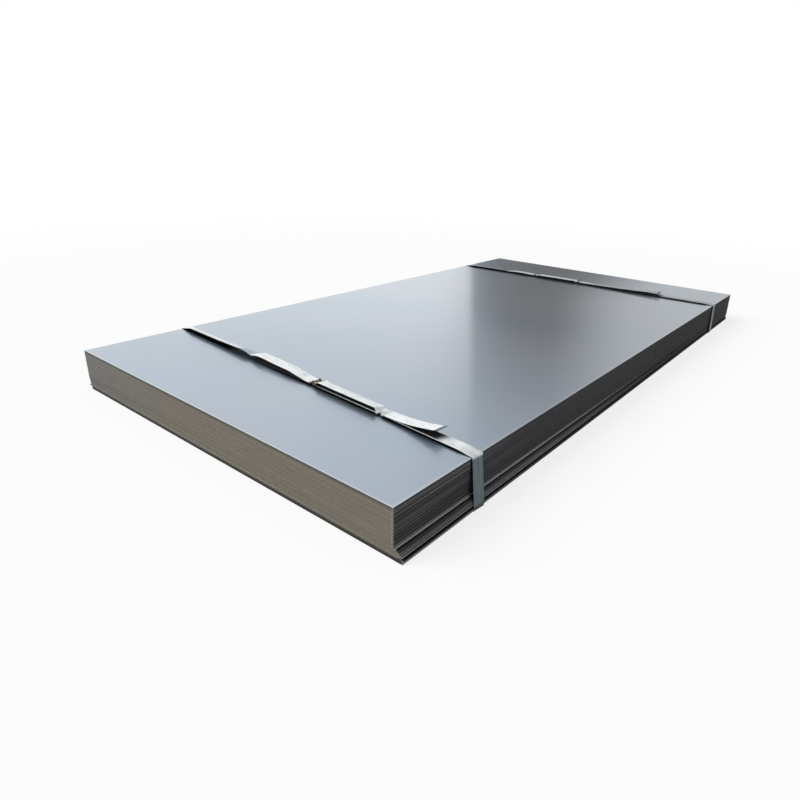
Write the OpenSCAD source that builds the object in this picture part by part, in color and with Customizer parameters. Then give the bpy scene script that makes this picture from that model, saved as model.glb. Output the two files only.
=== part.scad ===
// Bundle of thin steel plates, stacked flat and held by two steel straps.
// Millimetres. +X runs across the plates, +Y along them and +Z up.
// The origin lies on the ground, under the middle of the bundle.

/* [Plates] */
// Width of one plate
plate_w = 1250; // [1100:10:1500]
// Length of one plate
plate_l = 2500; // [2200:10:3000]
// Thickness of one plate
plate_t = 3; // [2:0.5:4]
// Gap between one plate and the next
seam = 0.05; // [0.05:0.05:0.2]

/* [Stack] */
// Plates in the upper pack, the top one included
upper_count = 28; // [10:1:30]
// Plates in the lower pack
lower_count = 7; // [3:1:12]
// Plates at the very bottom
bottom_count = 3; // [1:1:4]
// How far the upper pack leans to the right, from its top to its bottom
upper_lean = 4; // [0:0.5:8]
// Step to the right from the upper pack to the lower pack, below 0 for a step to the left
ledge = 0; // [-4:0.5:8]
// How far the lower pack leans to the right
lower_lean = 9; // [0:0.5:20]
// How far the plate under the lower pack is set back
set_back = 9; // [2:0.5:15]
// Step to the right from the lower pack to the bottom plates
bottom_step = 3; // [0:0.5:10]
// Turn of the lowest plates, in degrees. The plates of the lower pack fan out to it
lower_turn = 0.45; // [0:0.05:0.6]
// Scatter of single plates across the stack
side_scatter = 0.5; // [0:0.1:1]
// Scatter of single plates along the stack
end_scatter = 0.3; // [0:0.1:2]

/* [Straps] */
// Width of the strap
strap_w = 38; // [25:1:45]
// Thickness of the strap
strap_t = 1; // [0.6:0.1:1.3]
// Gap between a strap and the plate edges that it is pulled over
strap_gap = 0.2; // [0.1:0.05:0.3]
// Gap between the two layers of a strap where a seal holds them
layer_gap = 0.2; // [0.1:0.05:0.4]
// Near strap: distance of its middle from the near end of the plates
near_inset = 324; // [200:1:500]
// Near strap: skew, in degrees
near_skew = -3.7; // [-5:0.1:5]
// Far strap: distance of its middle from the far end of the plates
far_inset = 320; // [200:1:500]
// Far strap: skew, in degrees
far_skew = 1.9; // [-5:0.1:5]

/* [Laps of both straps] */
// Height of the lower layer over the top plate, at the seals
joint_lift = 5.5; // [3:0.5:8]
// Height of the lower layer's loose end over the top plate
end_lift = 2; // [1:0.5:4]
// Height of the strap just inside each edge of the top plate
edge_lift = 4; // [1:0.5:6]
// Distance from the edge over which it springs up
edge_run = 45; // [30:1:80]
// Length on either side of the loose end over which the upper layer steps up
step_run = 28; // [20:1:40]
// Length past each seal over which the upper layer bows up
bow_run = 16; // [12:1:40]

/* [Near lap] */
// Distance from the right edge of the top plate to the end of the tail
near_tail_inset = 95; // [60:1:140]
// Length of the tail, from the middle of the right seal
near_tail_l = 183; // [120:1:220]
// Distance between the two seals
near_seal_pitch = 260; // [200:1:300]
// Length of the lower layer's loose end, from the middle of the left seal
near_lap_l = 280; // [150:1:330]
// Height of the upper layer before it steps over the loose end
near_rise = 9; // [5:0.5:12]
// Height of the upper layer after that step
near_crest = 19; // [13:0.5:24]
// Bow of the upper layer between the seals
near_bow = 10; // [1:0.5:16]
// How far the tail curls up
near_tail_lift = 21.5; // [5:0.5:28]

/* [Far lap] */
// Distance from the right edge of the top plate to the end of the tail
far_tail_inset = 225; // [150:1:300]
// Length of the tail, from the middle of the right seal
far_tail_l = 385; // [250:1:420]
// Distance between the two seals
far_seal_pitch = 230; // [180:1:260]
// Length of the lower layer's loose end, from the middle of the left seal
far_lap_l = 130; // [100:1:180]
// Height of the upper layer before it steps over the loose end
far_rise = 5; // [4:0.5:8]
// Height of the upper layer after that step
far_crest = 9; // [8:0.5:14]
// Bow of the upper layer between the seals
far_bow = 4; // [1:0.5:8]
// How far the tail curls up
far_tail_lift = 9.5; // [3:0.5:20]

/* [Seals] */
// Length of a seal along the strap
seal_l = 24; // [20:1:60]
// Thickness of the seal's sheet
seal_t = 0.9; // [0.6:0.1:1.2]
// Gap between a seal and the strap in it
seal_gap = 0.15; // [0.1:0.05:0.3]
// Gap between the two lips of a seal, along its middle
lip_gap = 1.5; // [0.5:0.5:4]
// Length of the crimped notch at each edge of the seal
notch_l = 14; // [8:0.5:18]
// Depth of that notch into the strap
notch_d = 6; // [3:0.5:8]
// Height of the tab turned up at each notch
tab_h = 6; // [3:0.5:8]

/* [Hidden] */

// Right-hand turns sharper than this are rounded by an arc, and all others are mitred
sharp_turn = 20;
// Steps in the arc round a plate edge
bend_steps = 6;
// Steps between two places on a strap's lap
lap_steps = 8;
// A notch narrows to this share of its length at its bottom
notch_taper = 0.6;
// Share of its height over the joint that the upper layer keeps up to its shoulder
shoulder_keep = 0.8;
// Place of that shoulder, as a share of the way from the step to the left seal
shoulder_way = 0.55;
// Angles that scatter the plates with no visible order
side_scatter_angle = 137.5;
end_scatter_angle = 222.5;

// First plate of each pack, counted from the top
lower_first = upper_count;
set_back_index = lower_first + lower_count;
bottom_first = set_back_index + 1;
plate_count = bottom_first + bottom_count;

pitch = plate_t + seam;
stack_h = plate_count * pitch - seam;
// Heights over the ground
ground_gap = strap_t + strap_gap;
top_z = ground_gap + stack_h;

// Place of one plate's middle across the stack
lower_x = upper_lean + ledge;
function pack_x(i) =
    i < lower_first ? upper_lean * i / (upper_count - 1)
    : i < set_back_index ? lower_x + lower_lean * (i - lower_first) / (lower_count - 1)
    : i == set_back_index ? lower_x + lower_lean - set_back
    : lower_x + lower_lean + bottom_step;
function plate_x(i) = pack_x(i) + side_scatter * sin(side_scatter_angle * i);
function plate_y(i) = end_scatter * sin(end_scatter_angle * i);
function plate_turn(i) =
    i < lower_first ? 0 : lower_turn * min(1, (i - lower_first) / (lower_count - 1));
// Height of a plate's upper face over the top of the stack, so 0 or less
function plate_top(i) = -i * pitch;

// Where a plate's edge crosses a strap, along the strap. Side is 1 at the right and -1 at the left
function edge_u(i, side, y, skew) =
    let (a = skew - plate_turn(i))
    (side * plate_w / 2 + plate_x(i) * cos(plate_turn(i)) - (y - plate_y(i)) * sin(plate_turn(i))
        + side * strap_w / 2 * abs(sin(a))) / cos(a);
function plate_corners(i, side, y, skew) =
    [for (z = [plate_top(i), plate_top(i) - plate_t]) [edge_u(i, side, y, skew), z]];

// Line pulled tight over a row of points that it goes round clockwise
function cross_z(a, b, c) = (b[0] - a[0]) * (c[1] - b[1]) - (b[1] - a[1]) * (c[0] - b[0]);
function tightened(line, p) =
    let (n = len(line))
    n > 1 && cross_z(line[n - 2], line[n - 1], p) >= 0
        ? tightened([for (i = [0 : n - 2]) line[i]], p)
        : concat(line, [p]);
function taut(points, i = 0, line = []) =
    i == len(points) ? line : taut(points, i + 1, tightened(line, points[i]));
function reversed(list) = [for (i = [len(list) - 1 : -1 : 0]) list[i]];
function side_corners(side, y, skew) =
    [for (i = [0 : plate_count - 1]) each plate_corners(i, side, y, skew)];

// Smooth rise and fall through places given as [distance along the strap, height]
function eased(a, b, f) = a + (b - a) * (1 - cos(180 * f)) / 2;
function flowing(places) = [
    for (i = [0 : len(places) - 2])
        for (k = [0 : lap_steps - 1])
            let (a = places[i], b = places[i + 1], f = k / lap_steps)
            [a[0] + (b[0] - a[0]) * f, eased(a[1], b[1], f)]
];
function curling(start, end) = [
    for (k = [0 : lap_steps])
        let (f = k / lap_steps)
        [start[0] + (end[0] - start[0]) * f, start[1] + (end[1] - start[1]) * f * f]
];

// Height of the upper layer where it lies on the lower one
on_joint = joint_lift + strap_t + layer_gap;
function seal_span(x, height) = [[x - seal_l / 2, height], [x + seal_l / 2, height]];
function shoulder(crest_x, crest, seal_x) = [
    crest_x + (seal_x - seal_l / 2 - crest_x) * shoulder_way,
    on_joint + (crest - on_joint) * shoulder_keep
];
function bow_span(seals, height) = [
    [seals[0] + seal_l / 2 + bow_run, height],
    [seals[1] - seal_l / 2 - bow_run, height]
];

// Inner face of a whole strap, from its lower end once round the stack to its tail
function strap_line(y, skew, seals, lap_l, rise, crest, bow, tail_l, tail_lift) =
    let (
        right = taut(side_corners(1, y, skew)),
        left = taut(reversed(side_corners(-1, y, skew))),
        right_top = right[0],
        left_top = left[len(left) - 1],
        end_x = seals[0] - lap_l,
        lower_run = concat(
            [[end_x, end_lift]],
            seal_span(seals[0], joint_lift),
            seal_span(seals[1], joint_lift),
            [right_top + [-edge_run, edge_lift]],
            [right_top]
        ),
        upper_run = concat(
            [left_top],
            [left_top + [edge_run, edge_lift]],
            [[end_x - step_run, rise]],
            [[end_x + step_run, crest]],
            [shoulder(end_x + step_run, crest, seals[0])],
            seal_span(seals[0], on_joint),
            bow_span(seals, on_joint + bow),
            seal_span(seals[1], on_joint)
        ),
        upper_flow = flowing(upper_run),
        last_seal_end = upper_run[len(upper_run) - 1]
    )
    concat(
        flowing(lower_run), right, left,
        [for (i = [1 : len(upper_flow) - 1]) upper_flow[i]],
        curling(last_seal_end, [seals[1] + tail_l, on_joint + tail_lift])
    );

// Line at a distance to the left of another one, with arcs round its sharp corners
function unit(v) = v / norm(v);
function turned(v, a) = [v[0] * cos(a) - v[1] * sin(a), v[0] * sin(a) + v[1] * cos(a)];
function normal(a, b) = turned(unit(b - a), 90);
function beside(line, d) =
    let (last = len(line) - 1)
    [
        for (i = [0 : last])
            let (
                before = normal(line[max(i, 1) - 1], line[max(i, 1)]),
                after = normal(line[min(i, last - 1)], line[min(i, last - 1) + 1]),
                turn = sign(cross(after, before)) * acos(min(1, before * after))
            )
            each turn > sharp_turn
                ? [for (k = [0 : bend_steps]) line[i] + d * turned(before, -turn * k / bend_steps)]
                : [line[i] + d * (before + after) / (1 + before * after)]
    ];

// Places of the straps along the stack, and of the left and right seal across it
near_strap_y = near_inset - plate_l / 2;
far_strap_y = plate_l / 2 - far_inset;
near_last_seal = plate_w / 2 - near_tail_inset - near_tail_l;
far_last_seal = plate_w / 2 - far_tail_inset - far_tail_l;
near_seals = [near_last_seal - near_seal_pitch, near_last_seal];
far_seals = [far_last_seal - far_seal_pitch, far_last_seal];
near_line = strap_line(
    near_strap_y, near_skew, near_seals, near_lap_l,
    near_rise, near_crest, near_bow, near_tail_l, near_tail_lift
);
far_line = strap_line(
    far_strap_y, far_skew, far_seals, far_lap_l,
    far_rise, far_crest, far_bow, far_tail_l, far_tail_lift
);
near_outside = beside(near_line, strap_gap + strap_t);
far_outside = beside(far_line, strap_gap + strap_t);

// Middle of the bundle's box, which the origin lies under
all_plates = [0 : plate_count - 1];
function plate_reach_x(i) = (plate_w * cos(plate_turn(i)) + plate_l * sin(plate_turn(i))) / 2;
function plate_reach_y(i) = (plate_l * cos(plate_turn(i)) + plate_w * sin(plate_turn(i))) / 2;
function outside_x(outside, skew, side) =
    side * max([for (p = outside) side * p[0]]) * cos(skew) + side * strap_w / 2 * abs(sin(skew));
left_x = min(concat(
    [for (i = all_plates) plate_x(i) - plate_reach_x(i)],
    [outside_x(near_outside, near_skew, -1), outside_x(far_outside, far_skew, -1)]
));
right_x = max(concat(
    [for (i = all_plates) plate_x(i) + plate_reach_x(i)],
    [outside_x(near_outside, near_skew, 1), outside_x(far_outside, far_skew, 1)]
));
near_y = min([for (i = all_plates) plate_y(i) - plate_reach_y(i)]);
far_y = max([for (i = all_plates) plate_y(i) + plate_reach_y(i)]);
middle = [(left_x + right_x) / 2, (near_y + far_y) / 2];

// Plates from one place in the stack to another
module plates(first, last) {
    for (i = [first : last])
        translate([plate_x(i) - middle[0], plate_y(i) - middle[1], top_z + plate_top(i) - plate_t])
            rotate([0, 0, plate_turn(i)])
                translate([-plate_w / 2, -plate_l / 2, 0])
                    cube([plate_w, plate_l, plate_t]);
}

// Frame of a strap: X along it, Y across it, and Z = 0 on the top plate
module on_strap(y, skew) {
    translate([-middle[0], y - middle[1], top_z])
        rotate([0, 0, skew])
            children();
}

// Space of the notch that each edge of a seal is crimped with
seal_half_w = strap_w / 2 + seal_gap + seal_t;
seal_floor = joint_lift + strap_gap - seal_gap - seal_t;
seal_h = 2 * strap_t + layer_gap + 2 * (seal_gap + seal_t);
notch_bottom_w = strap_w / 2 - notch_d;
module notches(seal_x) {
    for (side = [-1, 1])
        translate([seal_x, 0, seal_floor - seal_t])
            linear_extrude(seal_h + 2 * seal_t)
                polygon([
                    [-notch_l / 2 * notch_taper, side * notch_bottom_w],
                    [notch_l / 2 * notch_taper, side * notch_bottom_w],
                    [notch_l / 2, side * (seal_half_w + seal_t)],
                    [-notch_l / 2, side * (seal_half_w + seal_t)]
                ]);
}

module strap(line, outside, seals) {
    difference() {
        rotate([90, 0, 0])
            linear_extrude(strap_w, center = true)
                polygon(concat(beside(line, strap_gap), reversed(outside)));
        for (seal_x = seals)
            notches(seal_x);
    }
}

// Sleeve folded round both layers, its lips meeting on top, with the notches cut and their tabs turned up
module seal(seal_x) {
    difference() {
        translate([seal_x - seal_l / 2, -seal_half_w, seal_floor])
            cube([seal_l, 2 * seal_half_w, seal_h]);
        translate([seal_x - seal_l, -seal_half_w + seal_t, seal_floor + seal_t])
            cube([2 * seal_l, 2 * (seal_half_w - seal_t), seal_h - 2 * seal_t]);
        translate([seal_x - seal_l, -lip_gap / 2, seal_floor + seal_t])
            cube([2 * seal_l, lip_gap, seal_h]);
        notches(seal_x);
    }
    for (side = [-1, 1])
        translate([
            seal_x - notch_l / 2 * notch_taper,
            side * (notch_bottom_w - seal_t / 2) - seal_t / 2,
            seal_floor + seal_h - seal_t
        ])
            cube([notch_l * notch_taper, seal_t, tab_h + seal_t]);
}

module top_plate() {
    color("lightsteelblue") plates(0, 0);
}

module upper_plates() {
    color("dimgray") plates(1, lower_first - 1);
}

module lower_plates() {
    color("dimgray") plates(lower_first, set_back_index - 1);
}

module set_back_plate() {
    color("darkslategray") plates(set_back_index, set_back_index);
}

module bottom_plates() {
    color("gray") plates(bottom_first, plate_count - 1);
}

module near_strap() {
    color("whitesmoke") on_strap(near_strap_y, near_skew) strap(near_line, near_outside, near_seals);
}

module far_strap() {
    color("silver") on_strap(far_strap_y, far_skew) strap(far_line, far_outside, far_seals);
}

module near_seal_left() {
    color("rosybrown") on_strap(near_strap_y, near_skew) seal(near_seals[0]);
}

module near_seal_right() {
    color("lightgray") on_strap(near_strap_y, near_skew) seal(near_seals[1]);
}

module far_seal_left() {
    color("lightgray") on_strap(far_strap_y, far_skew) seal(far_seals[0]);
}

module far_seal_right() {
    color("lightgray") on_strap(far_strap_y, far_skew) seal(far_seals[1]);
}

top_plate();
upper_plates();
lower_plates();
set_back_plate();
bottom_plates();
near_strap();
far_strap();
near_seal_left();
near_seal_right();
far_seal_left();
far_seal_right();
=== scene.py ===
"""Strapped bundle of thin steel plates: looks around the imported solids.

Sizes are in millimetres and become metres through MM. The stack's own frame has its origin in the middle of
the top plate's upper face, X across the plates, Y along them and Z up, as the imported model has.
"""
import math

import bmesh
import bpy
from mathutils import Matrix, Vector


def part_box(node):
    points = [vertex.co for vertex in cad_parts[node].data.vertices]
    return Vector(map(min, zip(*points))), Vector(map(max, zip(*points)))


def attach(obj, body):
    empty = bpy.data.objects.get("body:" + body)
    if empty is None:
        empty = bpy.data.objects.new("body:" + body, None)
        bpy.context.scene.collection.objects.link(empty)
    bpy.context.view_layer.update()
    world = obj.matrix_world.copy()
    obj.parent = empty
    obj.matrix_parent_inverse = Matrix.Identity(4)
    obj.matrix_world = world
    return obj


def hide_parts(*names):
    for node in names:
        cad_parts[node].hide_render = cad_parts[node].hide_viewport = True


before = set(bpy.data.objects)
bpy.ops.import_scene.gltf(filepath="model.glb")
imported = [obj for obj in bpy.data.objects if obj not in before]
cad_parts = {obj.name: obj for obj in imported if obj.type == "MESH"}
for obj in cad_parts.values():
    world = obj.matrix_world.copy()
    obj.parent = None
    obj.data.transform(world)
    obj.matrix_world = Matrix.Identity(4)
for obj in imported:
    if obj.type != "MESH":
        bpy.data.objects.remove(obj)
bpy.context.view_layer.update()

MM = 0.001

# Plates
PLATE_W = 1250.0
PLATE_L = 2500.0
PLATE_T = 3.0
PLATE_PITCH = 3.05
UPPER_COUNT = 28
LOWER_COUNT = 7
BOTTOM_COUNT = 3
UPPER_LEAN = 4.0
LOWER_LEAN = 9.0
SET_BACK = 9.0
BOTTOM_STEP = 3.0
LOWER_TURN = math.radians(0.45)
SIDE_SCATTER = 0.5
END_SCATTER = 0.3
SIDE_SCATTER_ANGLE = math.radians(137.5)
END_SCATTER_ANGLE = math.radians(222.5)

# Straps
STRAP_W = 38.0
STRAP_T = 1.0
STRAP_GAP = 0.2
LAYER_GAP = 0.2
JOINT_LIFT = 5.5
END_LIFT = 2.0
EDGE_LIFT = 4.0
EDGE_RUN = 45.0
STEP_RUN = 28.0
BOW_RISE_RUN = 13.0
BOW_FALL_RUN = 7.0
# Shoulder of the upper layer between its crest and the left seal: share of the way and share of the height
SHOULDER_PLACE = 0.55
SHOULDER_HEIGHT = 0.8
EDGE_R = 0.3
SEAL_L = 24.0
NOTCH_L = 14.0
NOTCH_D = 6.0
NOTCH_TAPER = 0.6
NEAR_INSET = 324.0
NEAR_STRAP = dict(
    skew=math.radians(-3.7), tail_inset=95.0, tail_l=183.0, seal_pitch=260.0, lap_l=280.0,
    rise=9.0, crest=19.0, bow=10.0, tail_lift=21.5,
)
FAR_INSET = 320.0
FAR_STRAP = dict(
    skew=math.radians(1.9), tail_inset=225.0, tail_l=385.0, seal_pitch=230.0, lap_l=130.0,
    rise=5.0, crest=9.0, bow=4.0, tail_lift=9.5,
)
# Departures from the taut path: roll and heave of the left stretch, roll of the bow, slip of the foot.
# Painted shade: whether the lower layer's rim is left free of it (0 or 1), how long it is on the tip, how
# much of it the tail has (0 to 1).
NEAR_LOOK = dict(roll=6.2, heave=3.0, bow_roll=3.2, slip=-9.5, unshaded_rim=1.0, tip_l=13.0, tail_shade=0.0)
FAR_LOOK = dict(roll=3.0, heave=0.0, bow_roll=0.0, slip=0.0, unshaded_rim=0.0, tip_l=14.0, tail_shade=0.38)

# The first plate of each pack, counted from the top
LOWER_FIRST = UPPER_COUNT
SET_BACK_INDEX = LOWER_FIRST + LOWER_COUNT
BOTTOM_FIRST = SET_BACK_INDEX + 1
PLATE_COUNT = BOTTOM_FIRST + BOTTOM_COUNT
STACK_H = PLATE_COUNT * PLATE_PITCH
NEAR_Y = NEAR_INSET - PLATE_L / 2
FAR_Y = PLATE_L / 2 - FAR_INSET
# The lower pack's first plates have pale edges, and those of the next ones go from painted black shade to
# grey
PALE_COUNT = 2

top_low, top_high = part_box("top_plate")
STACK_ORIGIN = Vector(((top_low.x + top_high.x) / 2, (top_low.y + top_high.y) / 2, top_high.z))


# Node trees

class Wire:
    """A socket that takes part in Python sums: each operator adds its Math node."""

    def __init__(self, graph, socket):
        self.graph = graph
        self.socket = socket

    def math(self, operation, *others):
        values = (self,) + others
        return self.graph.add("ShaderNodeMath", {"operation": operation}, dict(enumerate(values)))

    def out(self, name):
        """Another output of the same node."""
        return Wire(self.graph, self.socket.node.outputs[name])

    def __add__(self, other):
        return self.math("ADD", other)

    __radd__ = __add__

    def __sub__(self, other):
        return self.math("SUBTRACT", other)

    def __rsub__(self, other):
        return self.graph.add("ShaderNodeMath", {"operation": "SUBTRACT"}, {0: other, 1: self})

    def __mul__(self, other):
        return self.math("MULTIPLY", other)

    __rmul__ = __mul__

    def __truediv__(self, other):
        return self.math("DIVIDE", other)

    def __gt__(self, other):
        return self.math("GREATER_THAN", other)

    def __abs__(self):
        return self.math("ABSOLUTE")


class Graph:
    """Adds nodes to one node tree."""

    def __init__(self, tree):
        self.tree = tree
        tree.nodes.clear()

    def add(self, kind, settings=None, sockets=None, out=0):
        """A node of any kind: its settings first, then the values or links of its sockets."""
        node = self.tree.nodes.new(kind)
        for name, value in (settings or {}).items():
            setattr(node, name, value)
        for key, value in (sockets or {}).items():
            if isinstance(value, Wire):
                self.tree.links.new(value.socket, node.inputs[key])
            else:
                node.inputs[key].default_value = value
        return Wire(self, node.outputs[out]) if len(node.outputs) else node

    def xyz(self, x, y, z):
        return self.add("ShaderNodeCombineXYZ", None, {0: x, 1: y, 2: z})

    def smooth(self, value, low, high):
        """0 below low, 1 above high and a smooth slope between them."""
        return self.add(
            "ShaderNodeMapRange", {"interpolation_type": "SMOOTHSTEP"},
            {"Value": value, "From Min": low, "From Max": high},
        )

    def window(self, value, start, full, falling, end):
        """0 before start and after end, 1 between full and falling, and smooth slopes between them."""
        return self.smooth(value, start, full) * (1.0 - self.smooth(value, falling, end))

    def mix(self, factor, first, second):
        """Blend of two colours."""
        return self.add(
            "ShaderNodeMix", {"data_type": "RGBA"}, {"Factor": factor, 6: first, 7: second}, out=2,
        )

    def noise(self, vector, scale, detail=2.0, roughness=0.5):
        return self.add(
            "ShaderNodeTexNoise", None,
            {"Vector": vector, "Scale": scale, "Detail": detail, "Roughness": roughness},
        )

    def place(self):
        """Place on a piece, in metres, for its finish."""
        return self.add("ShaderNodeTexCoord", out="Object")

    def split(self, vector):
        """X, Y and Z of a vector."""
        x = self.add("ShaderNodeSeparateXYZ", None, {0: vector})
        return x, x.out("Y"), x.out("Z")

    def attribute(self, name):
        """A value that a piece carries, for its finish."""
        return self.add("ShaderNodeAttribute", {"attribute_name": name}, out="Fac")

    def seen(self):
        """1 for rays straight from the camera, and 1 for these and those that came by mirrors or glass."""
        straight = self.add("ShaderNodeLightPath", out="Is Camera Ray")
        mirrored = straight.math("MAXIMUM", straight.out("Is Glossy Ray"))
        return straight, mirrored.math("MAXIMUM", straight.out("Is Transmission Ray"))

    def picked(self, number, wanted):
        """1 where a whole number is the wanted one, and 0 elsewhere."""
        return self.add("ShaderNodeMath", {"operation": "COMPARE"}, {0: number, 1: float(wanted), 2: 0.5})

    def bump(self, height, strength, distance):
        return self.add(
            "ShaderNodeBump", None, {"Height": height, "Strength": strength, "Distance": distance},
        )

    def carried(self, name):
        """A value that the geometry carries, for a geometry tree."""
        return self.add(
            "GeometryNodeInputNamedAttribute", {"data_type": "FLOAT"}, {"Name": name}, out="Attribute",
        )

    def stored(self, geometry, name, value, domain="POINT"):
        """The geometry with a value that it carries from here on."""
        return self.add(
            "GeometryNodeStoreNamedAttribute", {"data_type": "FLOAT", "domain": domain},
            {"Geometry": geometry, "Name": name, "Value": value},
        )

    def scaled(self, vector, factor):
        return self.add("ShaderNodeVectorMath", {"operation": "SCALE"}, {0: vector, "Scale": factor})

    def moved(self, geometry, offset):
        return self.add("GeometryNodeSetPosition", None, {"Geometry": geometry, "Offset": offset})

    def finished(self, geometry, finish, selection=True):
        """The geometry with a finish on its selected faces."""
        return self.add(
            "GeometryNodeSetMaterial", None,
            {"Geometry": geometry, "Selection": selection, "Material": finish},
        )


def rgb(red, green, blue):
    return (red, green, blue, 1.0)


def share(value, low, high):
    """0 below low, 1 above high and a straight slope between them."""
    return min(1.0, max(0.0, (value - low) / (high - low)))


def new_material(name, build):
    """A material whose shader comes from build(graph)."""
    material = bpy.data.materials.new(name)
    material.use_nodes = True
    graph = Graph(material.node_tree)
    graph.add("ShaderNodeOutputMaterial", None, {"Surface": build(graph)})
    return material


# Finishes

def under_strap(graph, x, y, strap_y, skew):
    """1 on the strip of the top sheet that a strap covers, where black shade is painted."""
    off = (y - STACK_ORIGIN.y - strap_y * MM) * math.cos(skew) - (x - STACK_ORIGIN.x) * math.sin(skew)
    return 1.0 - graph.smooth(abs(off), (STRAP_W / 2 - 1.0) * MM, STRAP_W / 2 * MM)


# Rolled sheet: its tones, the distances from the edges over which its painted highlight along the rim fades,
# and the stretch of the near strap's painted black shade that is eased to grey, with the fades at its ends
SHEET_COOL = rgb(0.473, 0.568, 0.660)
SHEET_PALE = rgb(0.520, 0.584, 0.672)
RIM_HIGHLIGHT = rgb(0.76, 0.77, 0.78)
DEEP_BLACK = rgb(0.010, 0.010, 0.011)
RIM_FADE = (3.5, 8.0)
SHADE_EASED = (-360.0, -300.0, -235.0, -205.0)


def rolled_face(graph):
    """Cold-rolled sheet: satin steel with faint roll lines under a film of oil, with a painted highlight
    along its rim and painted black shade under the straps.
    """
    place = graph.place()
    x, y, _ = graph.split(place)
    cloud = graph.noise(place, 1.7, 3.0)
    lines = graph.noise(graph.xyz(x * 90.0, y * 0.8, 0.0), 1.0, 2.0)
    colour = graph.mix(graph.smooth(cloud, 0.35, 0.65), SHEET_COOL, SHEET_PALE)
    from_side = PLATE_W / 2 * MM - abs(x - STACK_ORIGIN.x)
    from_end = PLATE_L / 2 * MM - abs(y - STACK_ORIGIN.y)
    # Painted highlight along the rim of the sheet's face.
    rim = 1.0 - graph.smooth(from_side.math("MINIMUM", from_end), RIM_FADE[0] * MM, RIM_FADE[1] * MM)
    colour = graph.mix(0.55 * rim, colour, RIM_HIGHLIGHT)
    # Painted black shade on the strips under both straps, eased towards grey on one stretch of the near
    # strap.
    shade_eased = graph.window(x, *(limit * MM for limit in SHADE_EASED))
    near = under_strap(graph, x, y, NEAR_Y, NEAR_STRAP["skew"]) * (1.0 - 0.6 * shade_eased)
    under_shade = near.math("MAXIMUM", under_strap(graph, x, y, FAR_Y, FAR_STRAP["skew"]))
    satin = 0.35 - 0.08 * graph.smooth(y, -0.9, 0.2) + 0.05 * cloud + 0.02 * lines
    return graph.add("ShaderNodeBsdfPrincipled", None, {
        # Painted black shade under the straps, with rougher steel and no coat there.
        "Base Color": graph.mix(under_shade, colour, DEEP_BLACK),
        "Metallic": 1.0,
        "Roughness": satin + 0.3 * under_shade,
        "Normal": graph.bump(lines, 0.01, 0.0004),
        "Coat Weight": 0.9 - 0.9 * under_shade,
        "Coat Roughness": 0.07,
        "Coat IOR": 1.45,
    })


# Places along the stack between which the lower plates' tones fade, in metres
LOWER_FADE = (-0.9, 0.6)


def lower_tones(graph, number, y):
    """How pale, how stepped and how grey a plate of the lower pack is. Pale and grey fade to the far end."""
    first_stepped = LOWER_FIRST + PALE_COUNT - 0.5
    pale = (number > LOWER_FIRST - 0.5) * (1.0 - (number > first_stepped))
    stepped = (number > first_stepped) * (1.0 - (number > SET_BACK_INDEX - 0.5))
    grey = graph.smooth(number, first_stepped, SET_BACK_INDEX - 1.5)
    far = graph.smooth(y, *LOWER_FADE)
    return 0.95 * pale * (1.0 - far), 0.9 * stepped, grey * (1.0 - 0.8 * far)


# Margins: their tones, and the distances from the plates' ends between which they turn to the ends' tone
MARGIN_DARK = rgb(0.030, 0.030, 0.033)
MARGIN_DUSTY = rgb(0.075, 0.073, 0.072)
MARGIN_GREY = rgb(0.15, 0.15, 0.155)
MARGIN_PALE = rgb(0.36, 0.36, 0.37)
MARGIN_AT_END = rgb(0.160, 0.144, 0.120)
SHADE_BLACK = rgb(0.008, 0.008, 0.009)
END_MARGIN = (8.0, 6.0)


def exposed_margin(graph):
    """Margins of the stacked plates that stick out: dull with dust and oil, and toned as their edges are,
    painted shade included.
    """
    place = graph.place()
    _, y, _ = graph.split(place)
    number = graph.attribute("plate_number")
    at_end = graph.smooth(abs(y), *((PLATE_L / 2 - distance) * MM for distance in END_MARGIN))
    side = graph.mix(graph.noise(place, 14.0, 3.0), MARGIN_DARK, MARGIN_DUSTY)
    pale, stepped, grey = lower_tones(graph, number, y)
    side = graph.mix(stepped, side, graph.mix(grey, SHADE_BLACK, MARGIN_GREY))
    side = graph.mix(pale, side, MARGIN_PALE)
    # Painted black shade on the margins of the set-back sheet and the bottom plates.
    side = graph.mix(number > SET_BACK_INDEX - 0.5, side, SHADE_BLACK)
    return graph.add("ShaderNodeBsdfPrincipled", None, {
        "Base Color": graph.mix(at_end, side, MARGIN_AT_END),
        "Metallic": 0.1,
        "Roughness": 0.55,
        "Specular IOR Level": 0.05,
    })


def cut_edge(graph):
    """For both finishes of a cut edge: plate number, its tone, streaks, grain, the torn part, and X and Y."""
    x, y, _ = graph.split(graph.place())
    number = graph.attribute("plate_number")
    cut = graph.attribute("cut_depth")
    tone = graph.add("ShaderNodeTexWhiteNoise", {"noise_dimensions": "1D"}, {"W": number}, out="Value")
    streak = graph.noise(graph.xyz(x * 2.5, y * 2.5, number * 7.3), 1.0, 3.0)
    grain = graph.noise(graph.xyz(x * 700.0, y * 700.0, cut * 3.0), 1.0, 2.0)
    return number, tone, streak, grain, graph.smooth(cut, 0.4, 0.55), x, y


CORNER_HIGHLIGHT = rgb(0.36, 0.34, 0.31)


def edge_shader(graph, colour, torn, grain):
    """Cut steel with a painted highlight at the corners of the plate."""
    corner = graph.attribute("corner")
    return graph.add("ShaderNodeBsdfPrincipled", None, {
        # Painted highlight at the plate's corners.
        "Base Color": graph.mix(0.4 * corner, colour, CORNER_HIGHLIGHT),
        "Metallic": 0.1,
        "Roughness": 0.55 + 0.08 * torn,
        "Specular IOR Level": 0.05,
        "Normal": graph.bump(grain, 0.15, 0.0002),
    })


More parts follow.
